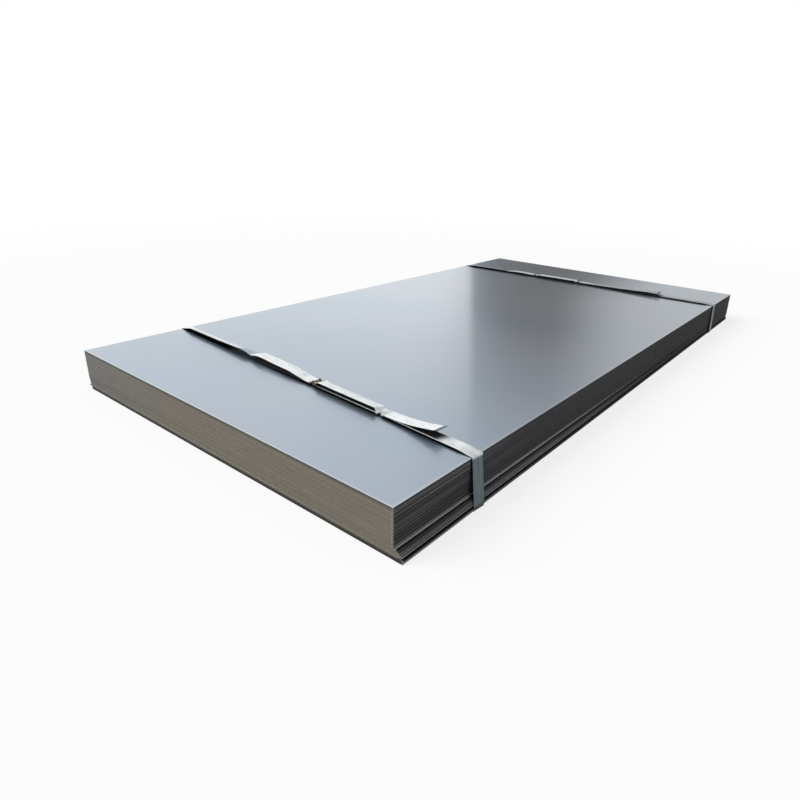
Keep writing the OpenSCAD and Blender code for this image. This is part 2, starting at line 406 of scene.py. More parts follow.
# Sheared ends: their tones from dark to pale, single plates that differ, and the places across the stack
# between which they turn from cool to warm, in metres
END_COOL = (rgb(0.117, 0.115, 0.110), rgb(0.143, 0.140, 0.134))
END_WARM = (rgb(0.130, 0.116, 0.095), rgb(0.160, 0.143, 0.118))
END_DARKER = rgb(0.060, 0.055, 0.046)
END_PALER = rgb(0.27, 0.25, 0.21)
END_GAP_LIGHT = rgb(0.38, 0.35, 0.30)
END_TOP_SHADE = rgb(0.050, 0.052, 0.052)
END_LOWEST = rgb(0.016, 0.018, 0.019)
DARKER_ENDS = (LOWER_FIRST - 2, LOWER_FIRST + 3)
PALER_END = SET_BACK_INDEX - 1
COOL_TO_WARM = (-0.6, 0.0)


def sheared_end(graph):
    """Sheared ends of the plates: warm dull grey, with painted shade on the top plates, and nearly black on
    the lowest.
    """
    number, tone, streak, grain, torn, x, _ = cut_edge(graph)
    patch = graph.noise(graph.xyz(x * 5.0, 0.0, number * 0.12), 1.0, 2.0)
    unlike = 0.12 + 0.6 * graph.smooth(number, LOWER_FIRST - 3.0, LOWER_FIRST)
    paler = 0.5 + (tone - 0.5) * unlike + (streak - 0.5) * 0.1 + (patch - 0.5) * 0.9 - 0.02 * torn
    paler = graph.smooth(paler, 0.0, 1.0)
    colour = graph.mix(
        graph.smooth(x, *COOL_TO_WARM), graph.mix(paler, *END_COOL), graph.mix(paler, *END_WARM),
    )
    darker = graph.picked(number, DARKER_ENDS[0]) + graph.picked(number, DARKER_ENDS[1])
    colour = graph.mix(0.35 * darker, colour, END_DARKER)
    colour = graph.mix(0.35 * graph.picked(number, PALER_END), colour, END_PALER)
    # Painted light along the plates' upper and lower cut edges, against the shade between plates.
    painted_gap = graph.smooth(abs(graph.attribute("cut_depth") - 0.5), 0.3, 0.48)
    colour = graph.mix(0.55 * painted_gap, colour, END_GAP_LIGHT)
    # Painted shade on the ends of the top plates, under the rim.
    colour = graph.mix(1.0 - graph.smooth(number, -0.5, 2.5), colour, END_TOP_SHADE)
    lowest = graph.smooth(number, BOTTOM_FIRST - 1.5, BOTTOM_FIRST + 0.5)
    colour = graph.mix(0.9 * lowest, colour, END_LOWEST)
    return edge_shader(graph, colour, torn, 0.4 * grain)


# Slit sides: their tones, the places along the stack between which a tone fades, in metres, and how far
# the painted shade beside the near strap reaches
SIDE_CHARCOAL = rgb(0.044, 0.044, 0.048)
SIDE_PALER = rgb(0.215, 0.213, 0.217)
SIDE_GREY = rgb(0.34, 0.34, 0.345)
SIDE_PALE = rgb(0.62, 0.62, 0.63)
SIDE_GAP_SHADE = rgb(0.006, 0.006, 0.007)
SIDE_LOWEST = rgb(0.30, 0.30, 0.305)
SIDE_STRAP_SHADE = rgb(0.004, 0.004, 0.004)
PALER_FADE = (-1.05, -0.6)
DARK_FADE = (-0.8, 0.9)
LOWEST_FADE = (-1.0, -0.55)
STRAP_SHADE_REACH = (4.5, 3.5)


def slit_side(graph):
    """Slit long edges: charcoal, a few paler plates in front, toned at the steps, darker to the far end, with
    painted black shade in the gaps and beside the near strap.
    """
    number, tone, streak, grain, torn, x, y = cut_edge(graph)
    front = 1.0 - 0.9 * graph.smooth(y, *PALER_FADE)
    pale = graph.smooth(tone, 0.55, 1.0) * front * graph.smooth(streak, 0.25, 0.6)
    paler = 0.25 * streak + 0.75 * pale - 0.1 * torn
    colour = graph.mix(graph.smooth(paler, 0.0, 1.0), SIDE_CHARCOAL, SIDE_PALER)
    light, stepped, grey = lower_tones(graph, number, y)
    colour = graph.mix(stepped, colour, graph.mix(grey, SHADE_BLACK, SIDE_GREY))
    colour = graph.mix(light, colour, graph.mix(graph.picked(number, LOWER_FIRST), SIDE_PALE, SIDE_GREY))
    # Darker towards the far end.
    colour = graph.mix(0.78 * graph.smooth(y, *DARK_FADE), colour, DEEP_BLACK)
    # Painted black shade on the set-back sheet and, less strongly, on the first bottom plate.
    painted_gap = graph.picked(number, SET_BACK_INDEX) + 0.75 * graph.picked(number, BOTTOM_FIRST)
    colour = graph.mix(0.9 * painted_gap, colour, SIDE_GAP_SHADE)
    lowest = (number > BOTTOM_FIRST + 0.5) * (1.0 - graph.smooth(y, *LOWEST_FADE))
    colour = graph.mix(0.8 * lowest, colour, SIDE_LOWEST)
    # Painted black shade on the plates beside the near strap's side run.
    along = y - ((NEAR_Y + PLATE_W / 2 * math.sin(NEAR_STRAP["skew"])) * MM + STACK_ORIGIN.y)
    half = STRAP_W / 2 * MM
    beside_strap_shade = graph.smooth(along, *(-half - reach * MM for reach in STRAP_SHADE_REACH)) * (1.0 - (along > half))
    colour = graph.mix(0.95 * beside_strap_shade * (x > 0.0), colour, SIDE_STRAP_SHADE)
    return edge_shader(graph, colour, torn, grain)


# Zinc: its tones bright, spotted, in painted shade, in painted shade before the loose end, dark and on the
# inner face, and the tone of the strap's cut edge, also painted as shade on the inner face
ZINC_GREY = rgb(0.80, 0.86, 0.90)
ZINC_WHITE = rgb(0.97, 1.0, 1.0)
ZINC_SPOT = rgb(0.34, 0.36, 0.38)
ZINC_DIM_SHADE = (rgb(0.080, 0.102, 0.112), rgb(0.150, 0.182, 0.192))
ZINC_LOOSE_END_SHADE = rgb(0.42, 0.47, 0.53)
ZINC_DARK = rgb(0.04, 0.041, 0.044)
ZINC_INNER = rgb(0.80, 0.83, 0.85)
CUT_EDGE_AND_INNER_SHADE = rgb(0.03, 0.031, 0.033)


def zinc(graph, shade_share):
    """Bright zinc-coated strap, with painted shade down the sides of the stack, on its inner face, under the
    lap and before the loose end.
    """
    along = graph.attribute("along")
    across = graph.attribute("across")
    # Painted shade down the sides of the stack, before the right edge and on the tail.
    dim_shade = graph.attribute("dim_shade")
    raised = graph.attribute("raised")
    inside = graph.smooth(graph.attribute("inside"), 0.0, 0.3 * STRAP_T * MM)
    edge = graph.smooth(abs(across), (STRAP_W / 2 - EDGE_R) * MM, (STRAP_W / 2 - 0.3 * EDGE_R) * MM)
    blotch = graph.noise(graph.xyz(along * 26.0, across * 48.0, 0.0), 1.0, 3.0)
    streak = graph.noise(graph.xyz(along * 9.0, across * 420.0, 3.0), 1.0, 2.0)
    spots = graph.smooth(graph.noise(graph.xyz(along * 85.0, across * 120.0, 9.0), 1.0, 1.0), 0.62, 0.72)
    bright = graph.mix(graph.smooth(blotch, 0.3, 0.55), ZINC_GREY, ZINC_WHITE)
    worn = graph.mix(0.45 * spots, bright, ZINC_SPOT)
    # Painted shade: dim tones of the zinc, over the whole strap or where the path carries it.
    dim_shaded = graph.mix(graph.smooth(streak, 0.3, 0.7), *ZINC_DIM_SHADE)
    shade_cover = shade_share + (1.0 - shade_share) * dim_shade
    outer = graph.mix(shade_cover, worn, dim_shaded)
    rim = graph.smooth(abs(across), 0.40 * STRAP_W * MM, 0.44 * STRAP_W * MM)
    # Painted black shade on the lower layer under the lap, left off its rim where the rim is kept free of it.
    lap_shade = graph.attribute("under_shade") * (1.0 - graph.attribute("unshaded_rim") * rim)
    # Painted shade on the upper layer just before the loose end.
    outer = graph.mix(0.9 * graph.attribute("loose_end_shade"), outer, ZINC_LOOSE_END_SHADE)
    outer = graph.mix(0.99 * lap_shade, outer, SHADE_BLACK)
    outer = graph.mix(0.9 * graph.attribute("dark"), outer, ZINC_DARK)
    # The inner face is painted dark as shade where it lies low, and bright zinc where it is raised.
    inner = graph.mix(raised, CUT_EDGE_AND_INNER_SHADE, ZINC_INNER)
    hidden = (inside * (1.0 - raised)).math("MAXIMUM", edge)
    return graph.add("ShaderNodeBsdfPrincipled", None, {
        "Base Color": graph.mix(edge, graph.mix(inside, outer, inner), CUT_EDGE_AND_INNER_SHADE),
        "Metallic": 0.42 + 0.5 * shade_cover - 0.3 * hidden - 0.5 * lap_shade + 0.4 * inside * raised,
        "Roughness": 0.36 + 0.12 * blotch + 0.08 * dim_shade + 0.1 * hidden + 0.3 * lap_shade,
        "Specular IOR Level": 0.03,
        "Normal": graph.bump(blotch + 0.3 * streak, 0.3, 0.0008),
    })


# Seals: the tones of their sheet, of the stain on it, and of the painted shade on the far seals and on their
# walls
SEAL_GREY = rgb(0.76, 0.79, 0.81)
SEAL_WHITE = rgb(0.94, 0.97, 0.98)
SEAL_SHADED = rgb(0.16, 0.17, 0.18)
SEAL_STAIN = rgb(0.17, 0.125, 0.085)
SEAL_WALL_SHADE = rgb(0.03, 0.03, 0.032)


def seal_finish(graph, stained, shade_share, wall_shade):
    """Crimped zinc sheet: stained brown or not, with more or less painted shade overall, and painted shade on
    its walls.
    """
    wall = graph.attribute("wall")
    blotch = graph.noise(graph.place(), 90.0, 3.0)
    stain = stained * graph.smooth(blotch, 0.25, 0.4)
    clean = graph.mix(graph.smooth(blotch, 0.3, 0.7), SEAL_GREY, SEAL_WHITE)
    # Painted shade over the whole seal, by its share.
    colour = graph.mix(stain, graph.mix(shade_share, clean, SEAL_SHADED), SEAL_STAIN)
    return graph.add("ShaderNodeBsdfPrincipled", None, {
        # Painted shade on the seal's walls.
        "Base Color": graph.mix(wall_shade * wall, colour, SEAL_WALL_SHADE),
        "Metallic": 0.6 - 0.4 * stain,
        "Roughness": 0.45 + 0.15 * stain + 0.1 * blotch,
        "Normal": graph.bump(blotch, 0.3, 0.0006),
    })


ROLLED_FACE = new_material("rolled_face", rolled_face)
SHEARED_END = new_material("sheared_end", sheared_end)
SLIT_SIDE = new_material("slit_side", slit_side)
EXPOSED_MARGIN = new_material("exposed_margin", exposed_margin)
BRIGHT_ZINC = new_material("bright_zinc", lambda graph: zinc(graph, 0.0))
# The far strap: the same zinc with painted shade all over.
SHADED_ZINC = new_material("shaded_zinc", lambda graph: zinc(graph, 0.24))
STAINED_SEAL = new_material("stained_seal", lambda graph: seal_finish(graph, 1.0, 0.0, 0.9))
CLEAN_SEAL = new_material("clean_seal", lambda graph: seal_finish(graph, 0.0, 0.0, 0.3))
# The far seals: the same sheet with some painted shade all over.
FAR_SEAL = new_material("far_seal", lambda graph: seal_finish(graph, 0.0, 0.2, 0.9))


# Pieces

def new_object(name, mesh):
    obj = bpy.data.objects.new(name, mesh)
    bpy.context.scene.collection.objects.link(obj)
    return obj


def new_geometry_tree(name, inputs):
    """An empty geometry tree with named inputs: its graph, the inputs' wires and their identifiers."""
    tree = bpy.data.node_groups.new(name, "GeometryNodeTree")
    graph = Graph(tree)
    tree.interface.new_socket("Geometry", in_out="INPUT", socket_type="NodeSocketGeometry")
    tree.interface.new_socket("Geometry", in_out="OUTPUT", socket_type="NodeSocketGeometry")
    identifiers = {}
    for label, kind in inputs.items():
        identifiers[label] = tree.interface.new_socket(label, in_out="INPUT", socket_type=kind).identifier
    start = graph.add("NodeGroupInput")
    return graph, start.out, identifiers


def grown(obj, graph, identifiers, values):
    """Runs a geometry tree on obj, with its inputs set, and leaves the result as obj's plain mesh."""
    modifier = obj.modifiers.new(graph.tree.name, "NODES")
    modifier.node_group = graph.tree
    for label, value in values.items():
        modifier[identifiers[label]] = value
    depsgraph = bpy.context.evaluated_depsgraph_get()
    mesh = bpy.data.meshes.new_from_object(
        obj.evaluated_get(depsgraph), preserve_all_data_layers=True, depsgraph=depsgraph,
    )
    obj.modifiers.clear()
    seed_mesh = obj.data
    obj.data = mesh
    bpy.data.meshes.remove(seed_mesh)
    return obj


# Cut edge of a plate, from its upper to its lower face: inset and depth as shares of the thickness
CUT_PROFILE = (
    (0.90, 0.0), (0.12, 0.0), (0.05, 0.006), (0.018, 0.03), (0.004, 0.08), (0.0, 0.15),
    (0.0, 0.45), (0.010, 0.60), (0.018, 0.95), (0.03, 0.985), (0.07, 1.0),
)
CORNER_R = 1.6
LEAST_CORNER_R = 0.1
CORNER_STEPS = 4
# Length beside a corner over which its painted highlight fades
CORNER_FADE = 3.0
EDGE_STEP = 90.0
EDGE_WOBBLE = 0.2
# Least upright share of a face's normal at which it has the finish of the plate's faces
MARGIN_SLOPE = 0.98
TOP_FACE_SLOPE = 0.3


def plate_outline(inset):
    """Points round a plate at an inset from its edges, as (place, 1 at a corner and 0 elsewhere)."""
    radius = max(CORNER_R - inset, LEAST_CORNER_R)
    half_w, half_l = PLATE_W / 2 - inset - radius, PLATE_L / 2 - inset - radius
    quarters = ((1, 1), (-1, 1), (-1, -1), (1, -1))
    centres = [Vector((x * half_w, y * half_l)) for x, y in quarters]
    points = []
    for quarter, centre in enumerate(centres):
        for step in range(CORNER_STEPS + 1):
            angle = math.pi / 2 * (quarter + step / CORNER_STEPS)
            outward = Vector((math.cos(angle), math.sin(angle)))
            points.append((centre + outward * radius, 1.0))
        run = centres[(quarter + 1) % 4] - centre
        fade = run.normalized() * CORNER_FADE
        start, straight = centre + outward * radius + fade, run - 2 * fade
        count = round(straight.length / EDGE_STEP)
        points += [(start + straight * (i / count), 0.0) for i in range(count + 1)]
    return points


def sheared_plate_mesh():
    """One plate with its upper face at height 0: rolled-over upper edge, straight cut, torn lower part."""
    maker = bmesh.new()
    cut_depth = maker.verts.layers.float.new("cut_depth")
    corner = maker.verts.layers.float.new("corner")
    rings = []
    for inset, depth in CUT_PROFILE:
        ring = []
        for place, at_corner in plate_outline(inset * PLATE_T):
            vert = maker.verts.new(Vector((place.x, place.y, -depth * PLATE_T)) * MM)
            vert[cut_depth] = depth
            vert[corner] = at_corner
            ring.append(vert)
        rings.append(ring)
    for upper, lower in zip(rings, rings[1:]):
        for i in range(len(upper)):
            face = maker.faces.new((upper[i - 1], lower[i - 1], lower[i], upper[i]))
            face.smooth = True
    maker.faces.new(rings[0])
    maker.faces.new(reversed(rings[-1]))
    mesh = bpy.data.meshes.new("sheared_plate")
    maker.to_mesh(mesh)
    maker.free()
    return mesh


def plate_pack_tree():
    """Stacks copies of one plate downwards, each shifted and turned by the pack's rule, with wavy edges."""
    graph, given, identifiers = new_geometry_tree("plate_pack", {
        "Count": "NodeSocketInt",
        "First number": "NodeSocketFloat",
        "Start": "NodeSocketVector",
        "Pitch": "NodeSocketFloat",
        "Lean per plate": "NodeSocketFloat",
        "Turn": "NodeSocketFloat",
        "Turn per plate": "NodeSocketFloat",
        "Side scatter": "NodeSocketFloat",
        "End scatter": "NodeSocketFloat",
        "Edge wobble": "NodeSocketFloat",
        "Least face slope": "NodeSocketFloat",
        "Face finish": "NodeSocketMaterial",
        "End finish": "NodeSocketMaterial",
        "Side finish": "NodeSocketMaterial",
    })
    places = graph.add(
        "GeometryNodeMeshLine", {"mode": "OFFSET"},
        {"Count": given("Count"), "Start Location": given("Start"),
         "Offset": graph.xyz(given("Lean per plate"), 0.0, given("Pitch") * -1.0)},
    )
    index = graph.add("GeometryNodeInputIndex")
    number = index + given("First number")
    scatter = graph.xyz(
        given("Side scatter") * (number * SIDE_SCATTER_ANGLE).math("SINE"),
        given("End scatter") * (number * END_SCATTER_ANGLE).math("SINE"),
        0.0,
    )
    turn = graph.xyz(0.0, 0.0, given("Turn") + index * given("Turn per plate"))
    plates = graph.add(
        "GeometryNodeInstanceOnPoints", None,
        {"Points": graph.moved(places, scatter), "Instance": given("Geometry"), "Rotation": turn},
    )
    plates = graph.stored(plates, "plate_number", number, domain="INSTANCE")
    plates = graph.add("GeometryNodeRealizeInstances", None, {"Geometry": plates})
    out_x, out_y, out_z = graph.split(graph.add("GeometryNodeInputNormal"))
    x, y, _ = graph.split(graph.add("GeometryNodeInputPosition"))
    wave = graph.noise(graph.xyz(x * 6.0, y * 6.0, graph.carried("plate_number") * 5.1), 1.0, 2.0) - 0.5
    plates = graph.moved(plates, graph.scaled(graph.xyz(out_x, out_y, 0.0), wave * given("Edge wobble")))
    plates = graph.finished(plates, given("Side finish"))
    plates = graph.finished(plates, given("End finish"), abs(out_y) - abs(out_x) > 0.0)
    plates = graph.finished(plates, given("Face finish"), abs(out_z) > given("Least face slope"))
    graph.add("NodeGroupOutput", None, {"Geometry": plates})
    return graph, identifiers


def plate_lean(i):
    """How far plate i lies to the right of the top plate."""
    if i < LOWER_FIRST:
        return UPPER_LEAN * i / (UPPER_COUNT - 1)
    if i < SET_BACK_INDEX:
        return UPPER_LEAN + LOWER_LEAN * (i - LOWER_FIRST) / (LOWER_COUNT - 1)
    return UPPER_LEAN + LOWER_LEAN + (-SET_BACK if i == SET_BACK_INDEX else BOTTOM_STEP)


def plate_turn(i):
    """How far plate i is turned: the lower pack fans out from its first plate to its last one."""
    return LOWER_TURN * share(i, LOWER_FIRST, SET_BACK_INDEX - 1)


def plate_pack(name, first, count, face_finish=EXPOSED_MARGIN, least_face_slope=MARGIN_SLOPE):
    """A piece with count plates, from plate number first on."""
    start = STACK_ORIGIN + Vector((plate_lean(first), 0.0, -first * PLATE_PITCH)) * MM
    last, steps = first + count - 1, max(count - 1, 1)
    obj = new_object(name, sheared_plate_mesh())
    return grown(obj, *PLATE_PACK, {
        "Count": count,
        "First number": float(first),
        "Start": start,
        "Pitch": PLATE_PITCH * MM,
        "Lean per plate": (plate_lean(last) - plate_lean(first)) / steps * MM,
        "Turn": plate_turn(first),
        "Turn per plate": (plate_turn(last) - plate_turn(first)) / steps,
        "Side scatter": SIDE_SCATTER * MM,
        "End scatter": END_SCATTER * MM,
        "Edge wobble": EDGE_WOBBLE * MM,
        "Least face slope": least_face_slope,
        "Face finish": face_finish,
        "End finish": SHEARED_END,
        "Side finish": SLIT_SIDE,
    })


# Path of a strap, as places (along the strap, height over the top plate)

# Longest step along the path
PATH_STEP = 6.0
# Steps of the curled tail, and of the arc round a sharp corner
TAIL_STEPS = 90
ARC_STEPS = 6
SHARP_TURN = math.radians(20)


def edge_reach(i, side, strap_y, skew):
    """Where the edge of plate i crosses a strap, along the strap. Side is 1 at the right, -1 at the left."""
    turn = plate_turn(i)
    x = plate_lean(i) + SIDE_SCATTER * math.sin(SIDE_SCATTER_ANGLE * i)
    y = END_SCATTER * math.sin(END_SCATTER_ANGLE * i)
    slant = skew - turn
    reach = side * PLATE_W / 2 + x * math.cos(turn) - (strap_y - y) * math.sin(turn)
    return (reach + side * STRAP_W / 2 * abs(math.sin(slant))) / math.cos(slant)


def taut(points):
    """The line pulled tight over points that it goes round clockwise."""
    line = []
    for p in points:
        while len(line) > 1:
            a, b = line[-2], line[-1]
            if (b - a).cross(p - b) < 0:
                break
            line.pop()
        line.append(p)
    return line


def stack_side(side, strap_y, skew):
    """Corners of all the plates on one side, from the top down."""
    corners = []
    for i in range(PLATE_COUNT):
        reach = edge_reach(i, side, strap_y, skew)
        corners += [Vector((reach, -i * PLATE_PITCH)), Vector((reach, -i * PLATE_PITCH - PLATE_T))]
    return corners


def flowing(places):
    """A smooth rise and fall through places, without the last one."""
    line = []
    for a, b in zip(places, places[1:]):
        steps = max(2 if a.y == b.y else 8, math.ceil(abs(b.x - a.x) / PATH_STEP))
        for k in range(steps):
            f = k / steps
            line.append(Vector((a.x + (b.x - a.x) * f, a.y + (b.y - a.y) * (1 - math.cos(math.pi * f)) / 2)))
    return line


def curling(a, b):
    """A line from a to b that rises ever faster."""
    run = b - a
    shares = [k / TAIL_STEPS for k in range(TAIL_STEPS + 1)]
    return [a + Vector((run.x * f, run.y * f ** 2)) for f in shares]


def seal_span(x, height):
    """Places through one seal, with the corners of its crimped notch among them."""
    outer, inner = NOTCH_L / 2, NOTCH_L / 2 * NOTCH_TAPER
    return [Vector((x + d, height)) for d in (-SEAL_L / 2, -outer, -inner, inner, outer, SEAL_L / 2)]


def beside(line, distance):
    """The line at a distance to the left of another one, with arcs round its sharp corners."""
    def left_of(a, b):
        run = (b - a).normalized()
        return Vector((-run.y, run.x))

    result = []
    for i, p in enumerate(line):
        j, k = max(i, 1), min(i, len(line) - 2)
        before, after = left_of(line[j - 1], line[j]), left_of(line[k], line[k + 1])
        turn = math.acos(min(1.0, before.dot(after)))
        if turn > SHARP_TURN and after.cross(before) > 0.0:
            for step in range(ARC_STEPS + 1):
                swing = Matrix.Rotation(-turn * step / ARC_STEPS, 2)
                result.append(p + distance * (swing @ before))
        else:
            result.append(p + distance * (before + after) / (1 + before.dot(after)))
    return result


def split_long(line):
    """The same line with its long stretches cut into steps."""
    result = [line[0]]
    for a, b in zip(line, line[1:]):
        steps = max(1, math.ceil((b - a).length / PATH_STEP))
        result += [a + (b - a) * (k / steps) for k in range(1, steps + 1)]
    return result


def strap_places(strap_y, skew, tail_inset, tail_l, seal_pitch, lap_l, rise, crest, bow, tail_lift):
    """The middle line of a strap, from its lower end once round the stack, and its seals and loose ends."""
    last_seal = PLATE_W / 2 - tail_inset - tail_l
    seals = (last_seal - seal_pitch, last_seal)
    on_joint = JOINT_LIFT + STRAP_T + LAYER_GAP
    right = taut(stack_side(1, strap_y, skew))
    left = taut(stack_side(-1, strap_y, skew)[::-1])
    end_x = seals[0] - lap_l
    crest_x = end_x + STEP_RUN
    shoulder = Vector((
        crest_x + (seals[0] - SEAL_L / 2 - crest_x) * SHOULDER_PLACE,
        on_joint + (crest - on_joint) * SHOULDER_HEIGHT,
    ))
    lower_run = [
        Vector((end_x, END_LIFT)),
        *seal_span(seals[0], JOINT_LIFT),
        *seal_span(seals[1], JOINT_LIFT),
        right[0] + Vector((-EDGE_RUN, EDGE_LIFT)),
        right[0],
    ]
    upper_run = [
        left[-1],
        left[-1] + Vector((EDGE_RUN, EDGE_LIFT)),
        Vector((end_x - STEP_RUN, rise)),
        Vector((crest_x, crest)),
        shoulder,
        *seal_span(seals[0], on_joint),
        Vector((seals[0] + SEAL_L / 2 + BOW_RISE_RUN, on_joint + bow)),
        Vector((seals[1] - SEAL_L / 2 - BOW_FALL_RUN, on_joint + bow)),
        *seal_span(seals[1], on_joint),
    ]
    tail = curling(upper_run[-1], Vector((seals[1] + tail_l, on_joint + tail_lift)))
    line = flowing(lower_run) + right + left + flowing(upper_run)[1:] + tail
    marks = dict(seals=seals, end_x=end_x, tail_x=tail[-1].x)
    return split_long(beside(line, STRAP_GAP + STRAP_T / 2)), marks


# The far edge of a rolled stretch of strap comes down to this height, and its near edge rises by the rest
LEAST_ROLLED_LIFT = 1.2
# Distances from the left edge over which roll and heave set in, and from the loose end over which they end
ROLL_START = (0.0, 60.0)
HEAVE_START = (60.0, 350.0)
ROLL_END = (5.0, 45.0)
# Length beside a seal over which slack and the bow's roll set in. Share of that roll by which the bow sinks
SETTLE_RUN = 30.0
BOW_SINK = 0.8
# Heights over the top plate between which a strap goes slack, and between which its inner face turns from
# painted shade to bright zinc
SLACK_HEIGHTS = (5.0, 11.0)
RAISED_HEIGHTS = (9.0, 16.0)
# Depth below the top plate's face at which a strap has its painted shade, and the lesser painted shade before
# the right edge
SIDE_SHADE_DEPTH = 2.0
EDGE_SHADE = 0.22
EDGE_SHADE_START = (45.0, 10.0)
# Distances of other marks: painted shade on the tail past the right seal, painted shade before the loose end,
# painted shade on the lower layer up to about the tail's end, rim left free of that shade before the left
# seal, dark foot over the ground. Share of the tip over which it turns dark with painted shade
TAIL_SHADE_START = (10.0, 90.0)
LOOSE_END_SHADE_START = (105.0, 75.0)
LOOSE_END_SHADE_END = 25.0
LAP_SHADE_END = (-12.0, 8.0)
UNSHADED_RIM_START = 60.0
FOOT_START = (10.0, 6.0)
TIP_FADE = 0.4


def strap_form(p, lower_layer, seals, end_x, roll, heave, bow_roll, slip):
    """How a strap departs from its flat path at place p, in millimetres, and how slack it is there."""
    upper_layer = p.y > 0.0 and not lower_layer
    from_left = p.x + PLATE_W / 2
    from_seal = min(abs(p.x - seal_x) for seal_x in seals)
    notched = share(NOTCH_L / 2 - from_seal, 0.0, NOTCH_L / 2 * (1 - NOTCH_TAPER))
    before_step = share(end_x - p.x, *ROLL_END) if upper_layer else 0.0
    rolled = roll * before_step * share(from_left, *ROLL_START)
    sunk = min(rolled, max(0.0, p.y - LEAST_ROLLED_LIFT))
    on_bow = share(p.x - seals[0], SEAL_L / 2, SEAL_L / 2 + SETTLE_RUN) if upper_layer else 0.0
    on_bow *= share(seals[1] - p.x, SEAL_L / 2, SEAL_L / 2 + BOW_FALL_RUN)
    heaved = heave * before_step * share(from_left, *HEAVE_START)
    return {
        "pinch": NOTCH_D * notched if p.y > 0.0 else 0.0,
        "slip": slip * share(-p.y, 0.0, STACK_H) * share(p.x, -PLATE_W / 2, PLATE_W / 2),
        "roll": rolled + bow_roll * on_bow,
        "heave": rolled - sunk + heaved - BOW_SINK * bow_roll * on_bow,
        "slack": share(p.y, *SLACK_HEIGHTS) * share(from_seal, SEAL_L / 2, SEAL_L / 2 + SETTLE_RUN),
    }


def strap_marks(p, to_end, lower_layer, seals, end_x, tail_x, unshaded_rim, tip_l, tail_shade):
    """How much painted shade and other marks a strap has at place p, from 0 to 1. The strap goes on for
    to_end from there.
    """
    to_edge = PLATE_W / 2 - p.x
    marks = {
        # Painted shade down the sides, before the right edge and on the tail.
        "dim_shade": max(
            share(-p.y, 0.0, SIDE_SHADE_DEPTH),
            EDGE_SHADE * share(-to_edge, *(-distance for distance in EDGE_SHADE_START)),
            tail_shade * share(p.x - seals[1], *TAIL_SHADE_START),
        ),
        "raised": share(p.y, *RAISED_HEIGHTS),
        "dark": share(-p.y, *(STACK_H - height for height in FOOT_START)),
        "under_shade": 0.0,
        "unshaded_rim": 0.0,
        "loose_end_shade": 0.0,
    }
    if lower_layer:
        # Painted shade on the lower layer up to about the tail's end, its rim left free past the left seal.
        marks["under_shade"] = share(tail_x - p.x, *LAP_SHADE_END)
        marks["unshaded_rim"] = unshaded_rim * share(p.x, seals[0] - UNSHADED_RIM_START, seals[1])
    else:
        # Painted shade just before the loose end.
        marks["loose_end_shade"] = share(p.x - end_x, *(-distance for distance in LOOSE_END_SHADE_START))
        marks["loose_end_shade"] *= share(end_x - p.x, 0.0, LOOSE_END_SHADE_END)
        # Painted shade at the tail's tip.
        marks["dark"] = max(marks["dark"], share(-to_end, -tip_l, (TIP_FADE - 1.0) * tip_l))
    return marks


def strap_path_mesh(
    name, strap_y, skew, places, seals, end_x, tail_x,
    roll, heave, bow_roll, slip, unshaded_rim, tip_l, tail_shade,
):
    """The strap's middle line as a chain of edges that carries what varies along it."""
    points, labels = [], []
    length = sum((b - a).length for a, b in zip(places, places[1:]))
    run = 0.0
    lower_layer = True
    for before, p in zip(places[:1] + places, places):
        run += (p - before).length
        flat = Vector((p.x * math.cos(skew), strap_y + p.x * math.sin(skew), p.y)) * MM
        points.append(STACK_ORIGIN + flat)
        lower_layer = lower_layer and p.y > 0.0
        form = strap_form(p, lower_layer, seals, end_x, roll, heave, bow_roll, slip)
        marks = strap_marks(p, length - run, lower_layer, seals, end_x, tail_x, unshaded_rim, tip_l, tail_shade)
        lengths = {label: form[label] * MM for label in ("pinch", "slip", "roll", "heave")}
        labels.append({"along": run * MM, "slack": form["slack"], **lengths, **marks})
    mesh = bpy.data.meshes.new(name)
    mesh.from_pydata(points, [(i, i + 1) for i in range(len(points) - 1)], [])
    for label in labels[0]:
        values = [at_point[label] for at_point in labels]
        mesh.attributes.new(label, "FLOAT", "POINT").data.foreach_set("value", values)
    return mesh


